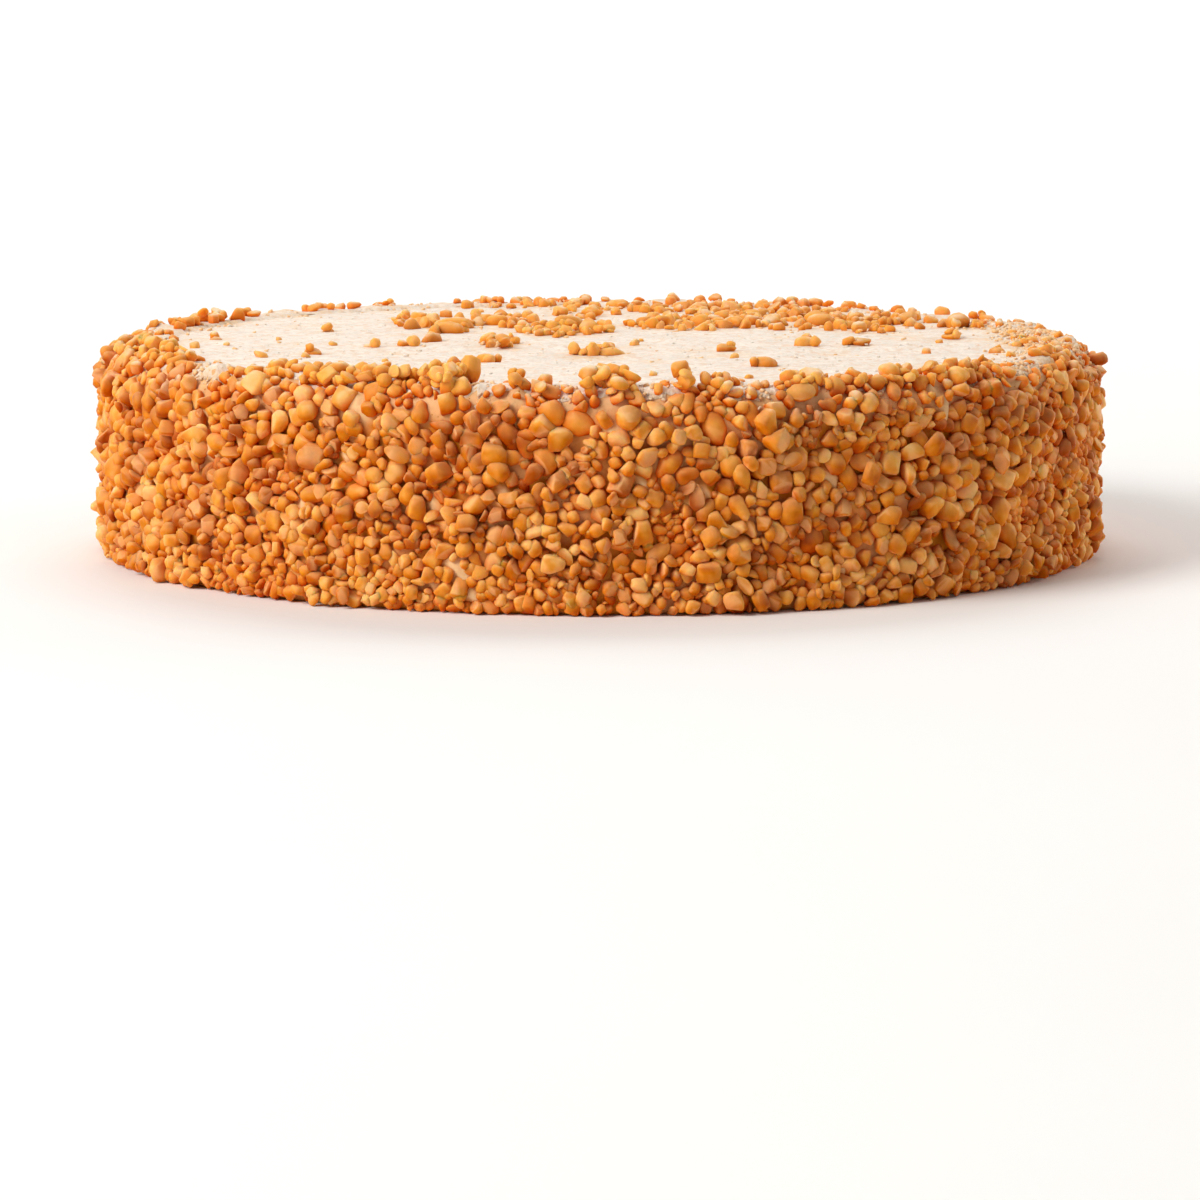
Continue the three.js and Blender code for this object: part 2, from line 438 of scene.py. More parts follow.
def nut_material(name, glow, dusting):
    """Roasted nut: each has its own tone, waxy and paler at its edges and cuts; painted light makes it
    paler where it faces up and more golden above the sugar, and painted shade makes it darker deep in the
    coat and where it faces down.
    """
    material, tree, shader, place = new_material(
        name, Subsurface_Weight=glow, Subsurface_Radius=(1.0, 0.55, 0.2), Subsurface_Scale=1.7 * MM,
        Specular_IOR_Level=0.05)
    tone, cut, edge, deep = (
        add_node(tree, "ShaderNodeAttribute", {}, attribute_name=layer).outputs["Fac"]
        for layer in ("tone", "cut", "edge", "deep"))
    colour = roasted_colour(tree, place, tone)
    # Painted light: faces turned up are made paler, as if lit from above. Sharp edges are paler too, and
    # cut faces show the paler flesh.
    painted_top_light = ranged(tree, facing_up(tree), -0.2, 0.9, 0.0, 0.68)
    pale_edges_and_painted_light = reckon(tree, "MULTIPLY_ADD", edge, 0.2, painted_top_light, held=True)
    pale = blend(tree, 0.6, colour, (0.89, 0.54, 0.25))
    colour = blend(tree, reckon(tree, "MAXIMUM", pale_edges_and_painted_light, cut), colour, pale)
    # Painted light: nuts above the sugared top are made more golden, standing in for the bright, backlit
    # top.
    colour = blend(tree, height_share(tree, place, -2, 2, 0.0, 0.45), colour, (0.92, 0.45, 0.075))
    film = use_group(tree, FILM, {"Place": place})["Mask"]
    creamy = reckon(tree, "MULTIPLY", film, ranged(tree, deep, 0.15, 0.5, 0.0, 0.3))
    colour = blend(tree, creamy, colour, (0.86, 0.50, 0.22))
    # Painted shade: deep and downward-facing parts are darkened and reddened.
    colour = blend(tree, in_shade(tree, place, deep), colour, (0.96, 0.36, 0.0), "MULTIPLY")
    colour = blend(tree, sugar_dust(tree, place, dusting), colour, (0.89, 0.67, 0.44))
    colour, patches = mottled(tree, place, colour, 330.0, 1100.0, 0.16)
    tree.links.new(colour, shader.inputs["Base Color"])
    set_gloss(tree, shader, patches, 0.32, 0.48)
    add_bump(tree, shader, grain(tree, place, 420.0, 1700.0, 0.35), 0.32, 0.2)
    return material


def cream_material():
    """Pinkish beige cream, smeared, with specks of nut in it."""
    material, tree, shader, place = new_material(
        "nut_cream", Subsurface_Weight=0.25, Subsurface_Radius=(1.0, 0.6, 0.4), Subsurface_Scale=1.5 * MM,
        Specular_IOR_Level=0.1)
    # Painted shade: cream lying low between the nuts is a deep orange-brown; raised cream is paler.
    raised = radius_share(tree, place, 0.9, 2.6, 1.0)
    colour = blend(tree, raised, (0.66, 0.21, 0.010), (0.82, 0.50, 0.25))
    thick = reckon(tree, "MULTIPLY", use_group(tree, FILM, {"Place": place})["Mask"], 0.5)
    colour = blend(tree, thick, colour, (0.82, 0.49, 0.24))
    colour = blend(tree, height_share(tree, place, -10, -3, 0.0, 0.8), colour, (0.80, 0.49, 0.25))
    colour, patches = mottled(tree, place, colour, 140.0, 600.0, 0.28)
    specks = use_group(tree, SPECKS, {"Place": place, "Scale": 650.0, "Size": 0.24})["Mask"]
    tree.links.new(blend(tree, specks, colour, (0.56, 0.22, 0.05)), shader.inputs["Base Color"])
    set_gloss(tree, shader, patches, 0.45, 0.62)
    add_bump(tree, shader, grain(tree, place, 350.0, 1400.0, 0.3), 0.6, 0.5)
    return material


def sugar_material():
    """Dry icing sugar: warm white, faint beige patches, tiny darker specks, and tan near the edge and near
    nuts, partly crumbs mixed in and partly a painted warm glow bounced from the nuts.
    """
    material, tree, shader, place = new_material(
        "icing_sugar", Subsurface_Weight=0.35, Subsurface_Radius=(1.0, 0.8, 0.6), Subsurface_Scale=1.2 * MM,
        Specular_IOR_Level=0.1)
    colour, patches = mottled(tree, place, (0.84, 0.735, 0.64, 1.0), 150.0, 1300.0, 0.34)
    flakes = ranged(tree, cloudy(tree, place, 460.0, 2.0), 0.50, 0.62, 0.0, 0.8)
    colour = blend(tree, flakes, colour, (0.79, 0.60, 0.46))
    specks = use_group(tree, SPECKS, {"Place": place, "Scale": 330.0, "Size": 0.3})["Mask"]
    colour = blend(tree, reckon(tree, "MULTIPLY", specks, 0.6), colour, (0.66, 0.42, 0.24))
    near_edge = radius_share(tree, place, -0.16 * CORE_RADIUS, 0, 1.0)
    nearby = add_node(tree, "ShaderNodeAttribute", {}, attribute_name="nuts_near").outputs["Fac"]
    share = reckon(tree, "MAXIMUM", near_edge, nearby)
    dust = ranged(tree, cloudy(tree, place, 380.0, 3.0), 0.40, 0.60, 0.1, 0.9)
    behind = ranged(tree, along_axis(tree, place, "Y"), -100 * MM, -50 * MM, 0.3, 0.9)
    # The tan near nuts is partly crumbs and partly painted light: the warm glow the nuts bounce onto the
    # sugar.
    tan = reckon(tree, "MULTIPLY", reckon(tree, "MULTIPLY", share, dust), behind)
    colour = blend(tree, tan, colour, (0.85, 0.57, 0.33))
    colour = blend(tree, radius_share(tree, place, -3, -1, 0.4), colour, (0.82, 0.53, 0.27))
    tree.links.new(colour, shader.inputs["Base Color"])
    set_gloss(tree, shader, patches, 0.8, 0.95)
    crusty = reckon(tree, "MULTIPLY_ADD", near_edge, 2.2, 1.0)
    rough = reckon(tree, "MULTIPLY", grain(tree, place, 650.0, 2200.0, 0.5), crusty)
    add_bump(tree, shader, rough, 0.55, 0.4)
    return material


def floor_material():
    material, tree, shader, place = new_material("pale_floor", Roughness=0.75, Specular_IOR_Level=0.2)
    colour, _ = mottled(tree, place, (0.90, 0.895, 0.885, 1.0), 1.5, 6.0, 0.02)
    tree.links.new(colour, shader.inputs["Base Color"])
    return material


# ---------------------------------------------------------------- core and sugar


def back_share(turn):
    """1 along the back of the rim, where sugar reaches over the edge, and 0 at the front."""
    return min(max((abs(turn) - 115) / 10, 0), 1)


def apart(turn, middle):
    """Degrees from one direction round the cake to another, from -180 to 180."""
    return (turn - middle + 180) % 360 - 180


def gap_share(turn):
    """1 in the middle of a stretch of bare sugar at the edge, falling to 0 at its ends."""
    share = 0
    for middle, half in RIM_GAPS:
        share = max(share, 1 - abs(apart(turn, middle) / half) ** 3)
    return share


def make_core():
    """The cream body: a low drum with a rounded top edge, a tucked foot and a hand-spread surface."""
    bpy.ops.object.select_all(action="DESELECT")
    bpy.ops.mesh.primitive_cylinder_add(
        vertices=CORE_SIDES, radius=CORE_RADIUS * MM, depth=CORE_TOP * MM,
        location=(0, 0, CORE_TOP * MM / 2))
    core = new_piece("cream_core")
    place_in_mesh(core)
    edit_alone(core)
    for edge_height, width, steps in ((CORE_TOP, SHOULDER, 6), (0, FOOT, 3)):
        pick(core, "edges", lambda e: all(abs(v.co.z - edge_height * MM) < MM / 10 for v in e.verts))
        bpy.ops.mesh.bevel(offset=width * MM, segments=steps, profile=0.5, affect="EDGES")
    for height in np.arange(FOOT + CORE_STEP, CORE_TOP - SHOULDER - CORE_STEP / 2, CORE_STEP):
        bpy.ops.mesh.select_all(action="SELECT")
        bpy.ops.mesh.bisect(plane_co=(0, 0, height * MM), plane_no=(0, 0, 1))
    pick(core, "faces", lambda f: abs(f.normal.z) > 0.99)
    for _ in range(3):
        bpy.ops.mesh.inset(thickness=8 * MM)
    leave_edit()
    side = core.vertex_groups.new(name="side")
    for v in core.data.vertices:
        radius = math.hypot(v.co.x, v.co.y) / MM
        if radius > CORE_RADIUS - SHOULDER - 1:
            side.add([v.index], min(1.0, v.co.z / MM / 6), "REPLACE")
    for name, size, height, middle in (
        ("hand", 70, 1.4, 0.5),
        ("spread", 16, 3.2, 0.34),
        ("smear", 7, 1.8, 0.5),
    ):
        displace(core, clouds(name, size), height, mid_level=middle, vertex_group="side")
    displace(core, clouds("patches", 6.5, 1, (0.66, 0.79)), 2.0, mid_level=0.0, vertex_group="side")
    smooth(core)
    return core


def make_sugar(core):
    """The sugar sheet: it lies on the core and droops over the shoulder, with a ragged edge."""
    bpy.ops.object.select_all(action="DESELECT")
    reach = CORE_RADIUS - 0.5
    bpy.ops.mesh.primitive_grid_add(x_subdivisions=SUGAR_SQUARES, y_subdivisions=SUGAR_SQUARES,
                                    size=2 * reach * MM, location=(0, 0, (CORE_TOP + 5) * MM))
    sugar = new_piece("sugar_top")
    place_in_mesh(sugar)
    edit_alone(sugar)

    def outside(face):
        x, y = face.calc_center_median().xy / MM
        turn = math.atan2(y, x)
        ragged = 1.3 * math.sin(9 * turn + 1) + 0.9 * math.sin(23 * turn) + 0.6 * math.sin(41 * turn + 2)
        round_to = math.degrees(math.atan2(x, -y))
        bare = max(gap_share(round_to), 0.9 * back_share(round_to))
        return math.hypot(x, y) > reach - 1.8 + 0.6 * ragged * (1 - bare) + 1.4 * bare

    pick(sugar, "faces", outside)
    bpy.ops.mesh.delete(type="FACE")
    leave_edit()
    apply_modifier(sugar, "SHRINKWRAP", target=core, wrap_method="PROJECT", use_project_z=True,
                   use_negative_direction=True, use_positive_direction=False, offset=SUGAR_THICK * MM / 2)
    edit_alone(sugar)
    pick(sugar, "verts", lambda v: v.co.z > (CORE_TOP + 3) * MM)
    bpy.ops.mesh.delete(type="VERT")
    leave_edit()
    for name, size, height, depth in (("drift", 34, 0.7, 2), ("sift", 3.6, 0.55, 3)):
        displace(sugar, clouds(name, size, depth), height, direction="Z", mid_level=0.5)
    apply_modifier(sugar, "SOLIDIFY", thickness=SUGAR_THICK * MM, offset=-1.0)
    smooth(sugar)
    return sugar


# ---------------------------------------------------------------- nut shapes


def unit_direction(random):
    direction = random.normal(size=3)
    return Vector(direction / np.linalg.norm(direction))


def rounded_block(name, cuts, roundness):
    """A block of side 1 whose corners are drawn in towards a ball."""
    bpy.ops.object.select_all(action="DESELECT")
    bpy.ops.mesh.primitive_cube_add(size=1)
    block = new_piece(name)
    edit_alone(block)
    bpy.ops.mesh.subdivide(number_cuts=cuts)
    bpy.ops.transform.tosphere(value=roundness)
    return block


def break_off(breaks):
    """Breaks pieces off along planes, each a direction and its distance from the middle."""
    for direction, distance in breaks:
        bpy.ops.mesh.select_all(action="SELECT")
        bpy.ops.mesh.bisect(plane_co=direction * distance, plane_no=direction, use_fill=True,
                            clear_outer=True)


def soften(piece, cell, rounds, triangles):
    """Wears the edges round and thins the mesh to a few dozen triangles."""
    apply_modifier(piece, "REMESH", mode="VOXEL", voxel_size=cell)
    apply_modifier(piece, "SMOOTH", factor=0.5, iterations=rounds)
    now = sum(len(face.vertices) - 2 for face in piece.data.polygons)
    apply_modifier(piece, "DECIMATE", ratio=triangles / now)


def roughen(random, offset, uniform):
    """Moves every selected corner a little."""
    seed = int(random.integers(1, 9999))
    bpy.ops.transform.vertex_random(offset=offset, uniform=uniform, normal=0.0, seed=seed)


def random_breaks(random, count, near, far):
    return [(unit_direction(random), random.uniform(near, far)) for _ in range(count)]


def chunk_shape(name, random, roundness, breaks, triangles, rounds, thick=(0.7, 0.95)):
    """A broken chunk: a rough block with flat breaks and worn edges."""
    block = rounded_block(name, 2, roundness)
    bpy.ops.transform.resize(value=(1.0, random.uniform(0.72, 1.0), random.uniform(*thick)))
    roughen(random, 0.06, 0.2)
    planes = random_breaks(random, breaks, 0.2, 0.4)
    break_off(planes)
    leave_edit()
    soften(block, 0.07, rounds, triangles)
    return block, planes


def drop_shape(name, random, triangles, rounds):
    """A rounded chip that narrows to one end and is often a little bent."""
    drop = rounded_block(name, 3, 0.85)
    bpy.ops.transform.resize(value=(1.1, random.uniform(0.68, 0.9), random.uniform(0.6, 0.85)))
    for near, narrow, aside in ((-0.1, (0.8, 0.98), 0.05), (0.2, (0.65, 0.9), 0.1)):
        pick(drop, "verts", lambda v: v.co.x > near)
        share = random.uniform(*narrow)
        bpy.ops.transform.resize(value=(1, share, share), center_override=(near, 0, 0))
        bpy.ops.transform.translate(value=(0, random.uniform(-aside, aside), 0))
    bpy.ops.mesh.select_all(action="SELECT")
    roughen(random, 0.04, 0.3)
    planes = random_breaks(random, int(random.integers(0, 2)), 0.2, 0.32)
    break_off(planes)
    leave_edit()
    soften(drop, 0.06, rounds, triangles)
    return drop, planes


def half_shape(name, random, triangles):
    """Half a kernel: a dome with a hollowed flat side."""
    dome = rounded_block(name, 4, 1.0)
    bpy.ops.transform.resize(value=(1.0, random.uniform(0.62, 0.8), 0.66))
    pick(dome, "verts", lambda v: v.co.x > 0.25)
    bpy.ops.transform.resize(value=(1, random.uniform(0.7, 0.9), 0.85), center_override=(0.25, 0, 0))
    flat = (Vector((0, 0, -1)), 0.05)
    break_off([flat])
    bpy.ops.mesh.inset(thickness=0.09)
    bpy.ops.transform.translate(value=(0, 0, 0.05))
    leave_edit()
    soften(dome, 0.06, 3, triangles)
    return dome, [flat]


def long_shape(name, random, triangles):
    """A long kernel: one end narrower, slightly bent, often snapped."""
    bar = rounded_block(name, 4, 0.95)
    bpy.ops.transform.resize(value=(1.1, random.uniform(0.55, 0.7), random.uniform(0.48, 0.6)))
    pick(bar, "verts", lambda v: v.co.x > 0.15)
    narrow = random.uniform(0.62, 0.9)
    bpy.ops.transform.resize(value=(1, narrow, narrow), center_override=(0.15, 0, 0))
    bpy.ops.transform.translate(value=(0, random.uniform(-0.12, 0.12), 0))
    pick(bar, "verts", lambda v: v.co.x < -0.3)
    bpy.ops.transform.translate(value=(0, random.uniform(-0.1, 0.1), 0))
    planes = []
    if random.random() < 0.5:
        planes = [(Vector((1, random.uniform(-0.5, 0.5), 0.2)).normalized(), 0.33)]
        break_off(planes)
    leave_edit()
    soften(bar, 0.06, 5, triangles)
    return bar, planes


def worn_edges(mesh):
    """How far each corner stands out from its neighbours: 0 on flats, 1 on the sharpest edges."""
    corners = np.array([v.co for v in mesh.vertices])
    normals = np.array([v.normal for v in mesh.vertices])
    ends = np.array([edge.vertices[:] for edge in mesh.edges]).T
    away, length = np.zeros_like(corners), np.zeros(len(corners))
    for near, far in (ends, ends[::-1]):
        step = corners[near] - corners[far]
        np.add.at(away, near, step)
        np.add.at(length, near, np.linalg.norm(step, axis=1))
    stands = (away * normals).sum(1) / length
    low, high = np.percentile(stands, (50, 95))
    return np.clip((stands - low) / (high - low), 0, 1)


class Shape:
    """A nut shape as arrays: longest side along X, thinnest along Z, longest half-length 1."""

    def __init__(self, piece, planes):
        edit_alone(piece)
        bpy.ops.mesh.select_all(action="SELECT")
        bpy.ops.mesh.normals_make_consistent(inside=False)
        bpy.ops.uv.smart_project(angle_limit=math.radians(70), island_margin=0.03)
        leave_edit()
        mesh = piece.data
        corners = np.array([v.co for v in mesh.vertices])
        cut = np.zeros(len(corners))
        normals = np.array([v.normal for v in mesh.vertices])
        for direction, distance in planes:
            near = np.abs(corners @ np.array(direction) - distance) < 0.07
            cut[near & (normals @ np.array(direction) > 0.8)] = 1
        low, high = corners.min(0), corners.max(0)
        corners = corners - (low + high) / 2
        order = np.argsort(low - high)
        turn = np.eye(3)[order]
        turn[2] *= np.linalg.det(turn)
        corners = corners @ turn.T
        self.half = np.abs(corners).max(0)
        self.corners = corners / self.half[0]
        self.half = self.half / self.half[0]
        self.cut = cut
        self.edge = worn_edges(mesh)
        self.starts = np.array([face.loop_start for face in mesh.polygons])
        self.loops = np.array([loop.vertex_index for loop in mesh.loops])
        uv = np.zeros(2 * len(self.loops))
        mesh.uv_layers[0].data.foreach_get("uv", uv)
        self.uv = uv.reshape(-1, 2)
        bpy.data.objects.remove(piece)


def shape_set(kind, count, seed, make):
    random = np.random.default_rng(seed)
    return [Shape(*make(f"{kind}_{number}", random)) for number in range(count)]


# ---------------------------------------------------------------- heaping


CLUMP_SPAN = 12     # how far apart the clumps and hollows of the coat are
CLUMP_RISE = 4.2    # how much they change how far its nuts stand out
PRESSED = 0.6       # how far a nut may be pressed into those below it, as a share of its half thickness
BURIED = 2.0        # what shows at least of a nut in the thickest cream, in millimetres
TABLE_GAP = 0.15    # how far the lowest nuts stay above the table
FOOT_LEVEL = 3.2    # where the large nuts at the foot lie, up the profile
RELIEF_REACH = 6.0  # how far from the smooth surface the core's relief is looked for
COAT_SQUARE = 0.36  # squares in which the coat's heap is reckoned
TOP_SQUARE = 0.5    # and those of the top's heap


class Heap:
    """What already lies on a surface: a height for each small square of it, in millimetres."""

    def __init__(self, ground, square, wraps):
        self.height = ground
        self.ground = ground.copy()
        self.square = square
        self.wraps = wraps
        self.rows, self.columns = ground.shape

    def spot(self, x, y, heights=None):
        row = min(max(int(y / self.square), 0), self.rows - 1)
        column = int(x / self.square)
        column = column % self.columns if self.wraps else min(max(column, 0), self.columns - 1)
        return (self.height if heights is None else heights)[row, column]

    def level(self, x, y, reach):
        """How high a piece of that reach would lie, roughly."""
        around = [self.spot(x, y)]
        for dx, dy in ((reach, 0), (-reach, 0), (0, reach), (0, -reach)):
            around.append(self.spot(x + dx, y + dy))
        return sum(around) / 5 + 0.5 * max(around)

    def lay(self, x, y, half, turn, sink, tilt, ceiling, pressed):
        """Lays an ellipsoid on the heap, unless it would stand out past the ceiling.

        Returns its middle's height and its slopes, or nothing where there is no room for it.
        """
        reach = int(half[0] / self.square) + 1
        row, column = int(y / self.square), int(x / self.square)
        rows = np.arange(row - reach, row + reach + 1)
        rows = rows[(rows >= 0) & (rows < self.rows)]
        columns = np.arange(column - reach, column + reach + 1)
        if not self.wraps:
            columns = columns[(columns >= 0) & (columns < self.columns)]
        dy = ((rows + 0.5) * self.square - y)[:, None]
        dx = ((columns + 0.5) * self.square - x)[None, :]
        here = np.ix_(rows, columns % self.columns)
        least = 0.75 * self.square
        along = (dx * math.cos(turn) + dy * math.sin(turn)) / max(half[0], least)
        across = (dy * math.cos(turn) - dx * math.sin(turn)) / max(half[1], least)
        bulge = 1 - along ** 2 - across ** 2
        inside = bulge > 0
        bulge = half[2] * np.sqrt(np.where(inside, bulge, 0))
        height = self.height[here]
        mean = height[inside].mean()
        mean_ground = self.ground[here][inside].mean()
        slopes = []
        for offset, extra in ((dx, tilt[0]), (dy, tilt[1])):
            offset = np.broadcast_to(offset, inside.shape)[inside]
            slope = ((height[inside] - mean) * offset).mean() / (offset ** 2).mean()
            slopes.append(float(np.clip(0.7 * slope, -0.75, 0.75) + extra))
        plane = slopes[0] * dx + slopes[1] * dy
        touch = np.sort((height - plane + bulge)[inside])
        middle = touch[int(0.86 * (len(touch) - 1))] - sink * half[2]
        room = max(ceiling, mean_ground + BURIED) - 0.9 * half[2]
        if middle > room + pressed * half[2]:
            return None
        middle = min(middle, room)
        top = middle + plane + 0.95 * bulge
        self.height[here] = np.where(inside, np.maximum(height, top), height)
        return middle, slopes


def ray_heights(piece, places, directions, reach):
    """How far a piece's surface stands out from each place along its direction."""
    surface = BVHTree.FromPolygons(
        [v.co[:] for v in piece.data.vertices], [face.vertices[:] for face in piece.data.polygons])
    heights = np.zeros(len(places))
    for index, (place, direction) in enumerate(zip(places, directions)):
        start = Vector(place + direction * reach) * MM
        hit = surface.ray_cast(start, Vector(-direction), 2 * reach * MM)
        heights[index] = reach - hit[3] / MM if hit[0] is not None else -reach
    return heights


# ---------------------------------------------------------------- the side and the top as surfaces


def coat_profile():
    """Points (radius, height) and outward normals up the core, over its shoulder and in."""
    points, normals = [], []
    for angle in np.linspace(-60, 0, 8):
        turn = math.radians(angle)
        points.append((CORE_RADIUS - FOOT * (1 - math.cos(turn)), FOOT * (1 + math.sin(turn)) + 0.4))
        normals.append((math.cos(turn), math.sin(turn)))
    for angle in np.linspace(0, 90, 30):
        turn = math.radians(angle)
        points.append((CORE_RADIUS - SHOULDER * (1 - math.cos(turn)),
                       CORE_TOP - SHOULDER * (1 - math.sin(turn))))
        normals.append((math.cos(turn), math.sin(turn)))
    points.append((CORE_RADIUS - SHOULDER - RIM_WIDTH, CORE_TOP))
    normals.append((0, 1))
    points, normals = np.array(points), np.array(normals)
    lengths = np.concatenate([[0], np.cumsum(np.linalg.norm(np.diff(points, axis=0), axis=1))])
    return lengths, points, normals


PROFILE_LENGTHS, PROFILE_POINTS, PROFILE_NORMALS = coat_profile()
COAT_LENGTH = 2 * math.pi * CORE_RADIUS
COAT_RISE = PROFILE_LENGTHS[-1]
SHOULDER_START = PROFILE_LENGTHS[8]
RIM_START = PROFILE_LENGTHS[-2]


def coat_frame(x, y):
    """Places on the coat's base surface, and the directions along it, up it and out of it."""
    turn = x / CORE_RADIUS
    radius, height = (np.interp(y, PROFILE_LENGTHS, PROFILE_POINTS[:, i]) for i in (0, 1))
    out, up = (np.interp(y, PROFILE_LENGTHS, PROFILE_NORMALS[:, i]) for i in (0, 1))
    size = np.hypot(out, up)
    out, up = out / size, up / size
    sine, cosine = np.sin(turn), -np.cos(turn)
    place = np.stack([radius * sine, radius * cosine, height], -1)
    along = np.stack([-cosine, sine, np.zeros_like(turn)], -1)
    normal = np.stack([out * sine, out * cosine, up], -1)
    rise = np.cross(normal, along)
    return place, along, rise, normal


def top_frame(x, y):
    """The same for the flat top, whose heap is measured from its corner."""
    ones, zeros = np.ones_like(x), np.zeros_like(x)
    place = np.stack([x - CORE_RADIUS, y - CORE_RADIUS, SUGAR_LEVEL * ones], -1)
    return (place, np.stack([ones, zeros, zeros], -1), np.stack([zeros, ones, zeros], -1),
            np.stack([zeros, zeros, ones], -1))


def heap_on(pieces, surface, width, depth, square, wraps):
    """A heap over a surface, whose ground is the relief of the pieces there."""
    coarse = 4 * square
    columns, rows = int(width / coarse), int(depth / coarse)
    x, y = np.meshgrid((np.arange(columns) + 0.5) * width / columns, (np.arange(rows) + 0.5) * coarse)
    place, _, _, normal = surface(x.ravel(), y.ravel())
    reliefs = [ray_heights(piece, place, normal, RELIEF_REACH) for piece in pieces]
    ground = np.maximum(np.max(reliefs, axis=0), -2.0).reshape(rows, columns)
    ground = np.repeat(np.repeat(ground, 4, axis=0), 4, axis=1)
    return Heap(ground, square, wraps)


# ---------------------------------------------------------------- chance

random = np.random.default_rng(21)


def between(limits, power=1.0):
    """A length between two limits; a power above 1 favours the short ones."""
    return limits[0] + (limits[1] - limits[0]) * random.random() ** power


def pick_kind(kinds):
    """One kind of piece: the one named, one of several, or what a function says."""
    if callable(kinds):
        return kinds()
    return kinds if isinstance(kinds, str) else kinds[int(random.integers(len(kinds)))]


def some_of(kind, share):
    """Chips for the rim and the top, with a share of one other kind among them."""
    return lambda: kind if random.random() < share else pick_kind(TOP_CHIPS)


def roast(shift=0.0):
    """A tone from 0, dark brown, to 1, pale: mostly amber, with a few of each extreme."""
    draw = random.random()
    if draw < 0.07:
        tone = random.uniform(0.0, 0.2)
    elif draw > 0.9:
        tone = random.uniform(0.7, 0.95)
    else:
        tone = random.normal(0.47, 0.11)
    return float(np.clip(tone + shift, 0.0, 1.0))


def top_roast(shift=0.0):
    """A tone for the nuts on the top, which differ more."""
    return float(np.clip(random.normal(0.5 + shift, 0.25), 0.0, 1.0))


# ---------------------------------------------------------------- scattering


class Scatter:
    """Collects pieces by kind: shape, place, turn, size and tone of each."""

    def __init__(self, surface, heap):
        self.surface = surface
        self.heap = heap
        self.found = {}

    def drop(self, kind, spots, length, tone, sink=0.35, ceiling=4.3, tries=1, lean=0.3, pressed=PRESSED,
             stands=0.0, grows=None):
        """Drops one piece at the lowest of some spots, where it finds room.

        A share of the pieces stands with its longest side outwards; the rest lie flat.
        """
        number = int(random.integers(len(SHAPES[kind])))
        offers = [spots() for _ in range(tries)]
        levels = [self.heap.level(x, y, 0.2 * length) for x, y in offers]
        x, y = offers[int(np.argmin(levels))]
        size = length / 2 * random.uniform(0.82, 1.2, 3) * (grows(x, y) if grows else 1)
        upright = float(random.random() < stands)
        half = SHAPES[kind][number].half * size
        half = np.roll(half, -1) if upright else half
        turn = random.uniform(0, 2 * math.pi)
        if callable(ceiling):
            ceiling = ceiling(x, y) + 0.6 * self.heap.spot(x, y, self.heap.ground)
        laid = self.heap.lay(x, y, half, turn, sink, random.normal(0, lean, 2), ceiling, pressed)
        flips = random.choice([-1, 1], 2)
        if laid is None:
            return
        middle, slopes = laid
        self.found.setdefault(kind, []).append(
            (number, x, y, middle, slopes[0], slopes[1], turn, *size, *flips, tone, upright))

    def pour(self, count, kinds, spots, lengths, power=1.0, shift=0.0, tone=roast, ceilings=None,
             **settings):
        """Drops many pieces, each of its own kind, length and tone, and under its own ceiling if asked."""
        for _ in range(count):
            kind, length, colour = pick_kind(kinds), between(lengths, power), tone(shift)
            if ceilings:
                settings["ceiling"] = ceilings()
            self.drop(kind, spots, length, colour, **settings)

    def placed(self, kind):
        """Shape numbers, 3x3 matrices, places, tones and outward directions, of one kind."""
        rows = np.array(self.found[kind])
        number, x, y, middle, slope_x, slope_y, turn = rows.T[:7]
        size, flips, tone, upright = rows[:, 7:10], rows[:, 10:12], rows[:, 12], rows[:, 13:] > 0
        place, along, rise, normal = self.surface(x, y)
        place = place + normal * middle[:, None]
        out = normal - along * slope_x[:, None] - rise * slope_y[:, None]
        out /= np.linalg.norm(out, axis=1)[:, None]
        right = along - out * (along * out).sum(1)[:, None]
        right /= np.linalg.norm(right, axis=1)[:, None]
        ahead = np.cross(out, right)
        cosine, sine = np.cos(turn)[:, None], np.sin(turn)[:, None]
        long_way = right * cosine + ahead * sine
        cross_way = ahead * cosine - right * sine
        flip_x, flip_y = flips[:, :1], flips[:, 1:]
        ways = [np.where(upright, a, b)
                for a, b in ((out, long_way), (long_way, cross_way), (cross_way, out))]
        columns = [ways[0] * size[:, :1] * flip_x, ways[1] * size[:, 1:2] * flip_y,
                   ways[2] * size[:, 2:] * flip_x * flip_y]
        return number.astype(int), np.stack(columns, -1), place, tone, out


def set_layer(mesh, name, values):
    """Stores one value for each corner of a mesh, for its material."""
    mesh.attributes.new(name, "FLOAT", "POINT").data.foreach_set("value", values.astype(np.float32))


def depth_in_coat(places):
    """How deep places lie: 0 where they stand well out of the coat, 1 down on the core."""
    past_side = np.hypot(places[..., 0], places[..., 1]) - CORE_RADIUS + SHOULDER
    past_top = places[..., 2] - SUGAR_LEVEL + SHOULDER
    out = np.hypot(np.maximum(past_side, 0), np.maximum(past_top, 0)) - SHOULDER
    on_top = past_side < -8
    return np.where(on_top, 0.2, 1) * (1 - np.clip(out / (0.85 * COAT_DEPTH), 0, 1))


